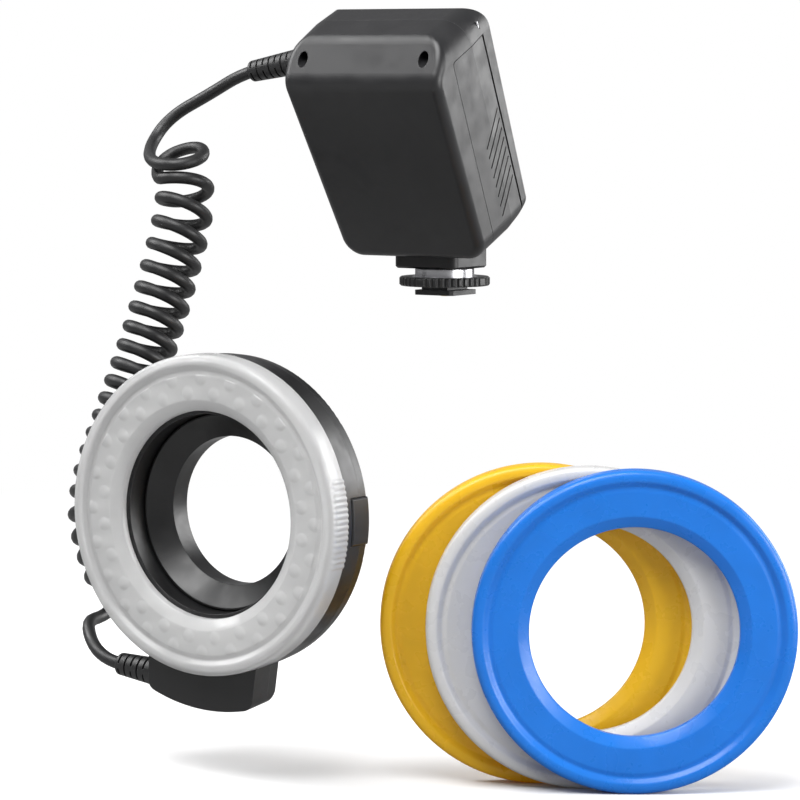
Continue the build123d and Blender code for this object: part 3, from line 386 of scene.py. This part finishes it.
def softened(corners, rounds, steps=5):
    """The closed outline with each corner replaced by a curve between points one round away.

    A curve's points are (1-t)^2 a + 2t(1-t) c + t^2 b, where c is the corner and a and b
    lie on its two sides.
    """
    corners = np.array(corners, float)
    outline = []
    for i, corner in enumerate(corners):
        before = corners[i - 1] - corner
        after = corners[(i + 1) % len(corners)] - corner
        start = corner + before / np.linalg.norm(before) * rounds[i]
        end = corner + after / np.linalg.norm(after) * rounds[i]
        for t in np.linspace(0, 1, steps):
            outline.append((1 - t) ** 2 * start + 2 * t * (1 - t) * corner + t * t * end)
    return np.array(outline)


def finely(outline, start, end, count):
    """The outline with extra points between two neighbouring points, found by their places."""
    i = int(np.argmin(np.linalg.norm(outline - start, axis=1)))
    j = int(np.argmin(np.linalg.norm(outline - end, axis=1)))
    shares = np.linspace(0, 1, count + 2)[1:-1, None]
    between = outline[i] * (1 - shares) + outline[j] * shares
    return np.vstack((outline[:i + 1], between, outline[j:]))


def diffuser_outline():
    """The section of a diffuser: skirt, rounded rim, valley, panel and inner lip."""
    skirt = rim_radius - wall
    under_valley = valley_depth + wall
    corners = (
        (rim_radius, -skirt_depth),
        (rim_radius, 0),
        (rim_radius - rim_round - rim_land, 0),
        (valley_radius, -valley_depth),
        (panel_outer, -panel_depth),
        (panel_inner, -panel_depth),
        (lip_radius, -lip_depth),
        (lip_radius, -lip_end),
        (lip_radius + lip_wall, -lip_end),
        (lip_radius + lip_wall, -lip_depth - wall / 2),
        (panel_inner, -panel_depth - wall),
        (panel_outer, -panel_depth - wall),
        (valley_radius, -under_valley),
        (skirt - rim_round / 2, -wall),
        (skirt, -wall - rim_round / 2),
        (skirt, -skirt_depth),
    )
    rounds = [soft_edge] * len(corners)
    rounds[1] = rim_round
    rounds[2] = lip_edge
    rounds[3] = lip_edge
    rounds[6] = lip_edge
    outline = softened(corners, rounds)
    panel_start = (panel_outer - soft_edge, -panel_depth)
    panel_end = (panel_inner + soft_edge, -panel_depth)
    outline = finely(outline, panel_start, panel_end, panel_points)
    skirt_start = (rim_radius, -skirt_depth + soft_edge)
    skirt_end = (rim_radius, -rim_round)
    return finely(outline, skirt_start, skirt_end, skirt_points)


def pebbles(radii, depths, angles):
    """Height of the shallow lens over each lamp: h (1 - (d/r)^2) for a distance d below r."""
    height = np.zeros_like(radii)
    pitch = whole_turn / lamp_count
    for row, shift in lamp_rows:
        turn = (angles / pitch - shift + 0.5) % 1 - 0.5
        distance = np.hypot(radii - row, turn * pitch * row)
        height += lens_height * np.clip(1 - (distance / lens_radius) ** 2, 0, None)
    front = (depths > -panel_depth - wall / 2) & (radii < panel_outer) & (radii > panel_inner)
    return np.where(front, height, 0)


def grips(radii, depths, angles):
    """Height of the finger ribs: half waves along the turn, on both sides of the skirt."""
    outside = np.clip((radii - rim_radius + soft_edge) / soft_edge, 0, 1)
    low = np.clip((-depths - grip_start) / grip_height, 0, 1)
    half = grip_ribs * grip_pitch / 2
    side = np.abs((angles + whole_turn / 4) % (whole_turn / 2) - whole_turn / 4)
    wave = np.abs(np.cos(math.pi * (side / grip_pitch - 0.5)))
    return grip_height * outside * low * np.where(side < half, wave, 0)


def diffuser(name, place, steps, finish, ribs):
    """A diffuser as one surface: the section carried round the axis of the given place.

    With ribs, its radius grows by the finger ribs and its panel rises over each lamp.
    """
    outline = diffuser_outline()
    turns = np.arange(steps) * whole_turn / steps
    radii, angles = np.meshgrid(outline[:, 0], turns, indexing="ij")
    depths = np.repeat(outline[:, 1:], steps, axis=1)
    if ribs:
        rise = pebbles(radii, depths, angles)
        radii = radii + grips(radii, depths, angles)
        depths = depths + rise
    points = np.stack((radii * np.cos(angles), radii * np.sin(angles), depths), axis=-1) * mm
    points = points.reshape(-1, 3) @ np.array(place.to_3x3()).T + np.array(place.translation)
    rows = np.arange(len(outline))[:, None] * steps
    next_rows = np.roll(rows, -1, axis=0)
    here = np.arange(steps)[None, :]
    there = np.roll(here, -1, axis=1)
    faces = np.stack((rows + here, rows + there, next_rows + there, next_rows + here), axis=-1)
    mesh = bpy.data.meshes.new(name)
    mesh.from_pydata(points.tolist(), [], faces.reshape(-1, 4).tolist())
    return add(name, mesh, finish)


upright = Matrix.Rotation(math.pi / 2, 4, "X")
clear = diffuser("frosted_diffuser", Matrix.Translation(head_place) @ upright, lathe_steps, frosted, True)
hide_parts("clear_diffuser")
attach(clear, "clear_diffuser")
spares = (("yellow", yellow), ("white", white), ("blue", blue))
for i, (colour, finish) in enumerate(spares):
    stand = Matrix.Translation(spare_place) @ Matrix.Rotation(spare_turn, 4, "Z")
    stand = stand @ Matrix.Translation(Vector(spare_step) * i) @ upright
    spare = diffuser(colour + "_diffuser_ring", stand, spare_steps, finish, False)
    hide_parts(colour + "_diffuser")
    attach(spare, colour + "_diffuser")


# Cord

def spline(name, points):
    """A curve of one open spline that starts and ends at its first and last point."""
    made = bpy.data.curves.new(name, "CURVE")
    made.dimensions = "3D"
    line = made.splines.new("NURBS")
    line.points.add(len(points) - 1)
    flat = np.hstack((np.array(points, float), np.ones((len(points), 1))))
    line.points.foreach_set("co", flat.ravel())
    line.order_u = 3
    line.use_endpoint_u = True
    return made


def followed(points):
    """Places evenly spaced along the curve through a route, and its heading at each."""
    curve = spline("coil route", points)
    guide = bpy.data.objects.new("coil route", curve)
    bpy.context.scene.collection.objects.link(guide)
    curve.resolution_u = guide_steps
    mesh = bpy.data.meshes.new_from_object(guide)
    line = np.empty(len(mesh.vertices) * 3)
    mesh.vertices.foreach_get("co", line)
    bpy.data.objects.remove(guide)
    line = line.reshape(-1, 3)
    gaps = np.linalg.norm(np.diff(line, axis=0), axis=1)
    run = np.concatenate(([0], np.cumsum(gaps)))
    even = np.linspace(0, run[-1], guide_places)
    places = np.stack([np.interp(even, run, line[:, k]) for k in range(3)], axis=1)
    headings = np.gradient(places, axis=0)
    return places, headings / np.linalg.norm(headings, axis=1)[:, None]


def coil():
    """Points of the coil: circles about the route, whose turns are closest at one place.

    The share s of the route at a turn is u + k ((u - c)^3 + c^3) / 3, scaled to end at one,
    where u is the share of the turns, c the closest place and k how far the ends open. Each
    circle leans: a point sinks by the lean's share of how far it lies along the lean's way.
    """
    places, headings = followed(np.array(coil_route))
    side = np.array((math.cos(coil_start), math.sin(coil_start), 0))
    sides = []
    for heading in headings:
        side = side - heading * side.dot(heading)
        side = side / np.linalg.norm(side)
        sides.append(side)
    sides = np.array(sides)
    ups = np.cross(sides, headings)
    count = round((coil_turns - coil_first) * turn_points) + 1
    turns = np.linspace(coil_first, coil_turns, count)

    def spread(u):
        return u + coil_open_share * ((u - coil_tight_share) ** 3 + coil_tight_share ** 3) / 3

    share = spread(turns / coil_turns) / spread(1) * (len(places) - 1)
    steps = np.arange(len(places))
    reach = coil_radius / math.cos(math.pi / turn_points)
    angle = turns * whole_turn
    middles, circles = [], []
    for k in range(3):
        across = np.interp(share, steps, sides[:, k])
        up = np.interp(share, steps, ups[:, k])
        middles.append(np.interp(share, steps, places[:, k]))
        circles.append((across * np.cos(angle) + up * np.sin(angle)) * reach)
    middles, circles = np.stack(middles, axis=1), np.stack(circles, axis=1)
    lean = np.interp(turns, lean_turns, lean_shares) * (circles @ lean_way)
    return middles + circles - np.outer(lean, (0, 0, 1))


route = np.vstack((top_route, loop_route, coil(), bottom_route)) * mm
line = spline("curled_cord", route)
line.bevel_depth = cord_diameter / 2 * mm
line.bevel_resolution = cord_sides
line.resolution_u = cord_steps
line.use_fill_caps = True
line.materials.append(rubber)
cord = bpy.data.objects.new("curled_cord", line)
bpy.context.scene.collection.objects.link(cord)
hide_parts("curly_cord", "top_lead", "bottom_lead")
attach(cord, "flash")


# Floor, backdrop, lights and camera

def floor_piece():
    """A wide flat floor, white far off. It throws little light back up at the object."""
    mesh = bpy.data.meshes.new("floor")
    signs = ((-1, -1), (1, -1), (1, 1), (-1, 1))
    points = [(x * floor_reach, y * floor_reach, floor_level) for x, y in signs]
    mesh.from_pydata(points, [], [(0, 1, 2, 3)])
    skin = bpy.data.materials.new("pale floor")
    skin.use_nodes = True
    tree = skin.node_tree
    shader = tree.nodes["Principled BSDF"]
    shader.inputs["Roughness"].default_value = floor_rough
    shader.inputs["Base Color"].default_value = floor_colour
    dim = node(tree, "ShaderNodeBsdfDiffuse", Color=floor_bounce)
    far = node(tree, "ShaderNodeEmission", Strength=1.0)
    place = node(tree, "ShaderNodeTexCoord").outputs["Object"]
    away = node(tree, "ShaderNodeVectorMath", operation="LENGTH")
    tree.links.new(place, away.inputs[0])
    fade = ramp(tree, away.outputs["Value"], fade_start, fade_end, 0.0, 1.0)
    seen = node(tree, "ShaderNodeLightPath").outputs["Is Camera Ray"]
    shown = node(tree, "ShaderNodeMixShader")
    tree.links.new(fade, shown.inputs[0])
    tree.links.new(shader.outputs[0], shown.inputs[1])
    tree.links.new(far.outputs[0], shown.inputs[2])
    both = node(tree, "ShaderNodeMixShader")
    tree.links.new(seen, both.inputs[0])
    tree.links.new(dim.outputs[0], both.inputs[1])
    tree.links.new(shown.outputs[0], both.inputs[2])
    tree.links.new(both.outputs[0], tree.nodes["Material Output"].inputs["Surface"])
    made = bpy.data.objects.new("floor", mesh)
    mesh.materials.append(skin)
    bpy.context.scene.collection.objects.link(made)


def world_light():
    """White behind the object for the camera, and an even studio grey for everything else."""
    world = bpy.data.worlds.new("studio")
    bpy.context.scene.world = world
    world.use_nodes = True
    tree = world.node_tree
    plain = tree.nodes["Background"]
    plain.inputs["Color"].default_value = studio_grey
    white_back = node(tree, "ShaderNodeBackground", Color=backdrop_white, Strength=1.0)
    seen = node(tree, "ShaderNodeLightPath").outputs["Is Camera Ray"]
    both = node(tree, "ShaderNodeMixShader")
    tree.links.new(seen, both.inputs[0])
    tree.links.new(plain.outputs[0], both.inputs[1])
    tree.links.new(white_back.outputs[0], both.inputs[2])
    tree.links.new(both.outputs[0], tree.nodes["World Output"].inputs["Surface"])


def soft_light(name, place, size, power):
    """A square area light that faces the object."""
    lamp = bpy.data.lights.new(name, "AREA")
    lamp.size = size
    lamp.energy = power
    made = bpy.data.objects.new(name, lamp)
    bpy.context.scene.collection.objects.link(made)
    made.location = place
    way = Vector(light_target) - Vector(place)
    made.rotation_euler = way.to_track_quat("-Z", "Y").to_euler()


floor_piece()
world_light()
for light in lights:
    soft_light(*light)

lens = bpy.data.cameras.new("camera")
lens.sensor_width = camera_sensor
lens.lens = camera_lens
lens.clip_start = camera_near
camera = bpy.data.objects.new("camera", lens)
bpy.context.scene.collection.objects.link(camera)
sin_turn, cos_turn = math.sin(camera_turn), math.cos(camera_turn)
sin_pitch, cos_pitch = math.sin(camera_pitch), math.cos(camera_pitch)
back = Vector((sin_turn * cos_pitch, -cos_turn * cos_pitch, sin_pitch))
right = Vector((cos_turn, sin_turn, 0))
up = back.cross(right)
axes = Matrix((right, up, back)).transposed().to_4x4()
camera.matrix_world = Matrix.Translation(camera_place) @ axes
bpy.context.scene.camera = camera
bpy.context.scene.view_settings.view_transform = "Standard"
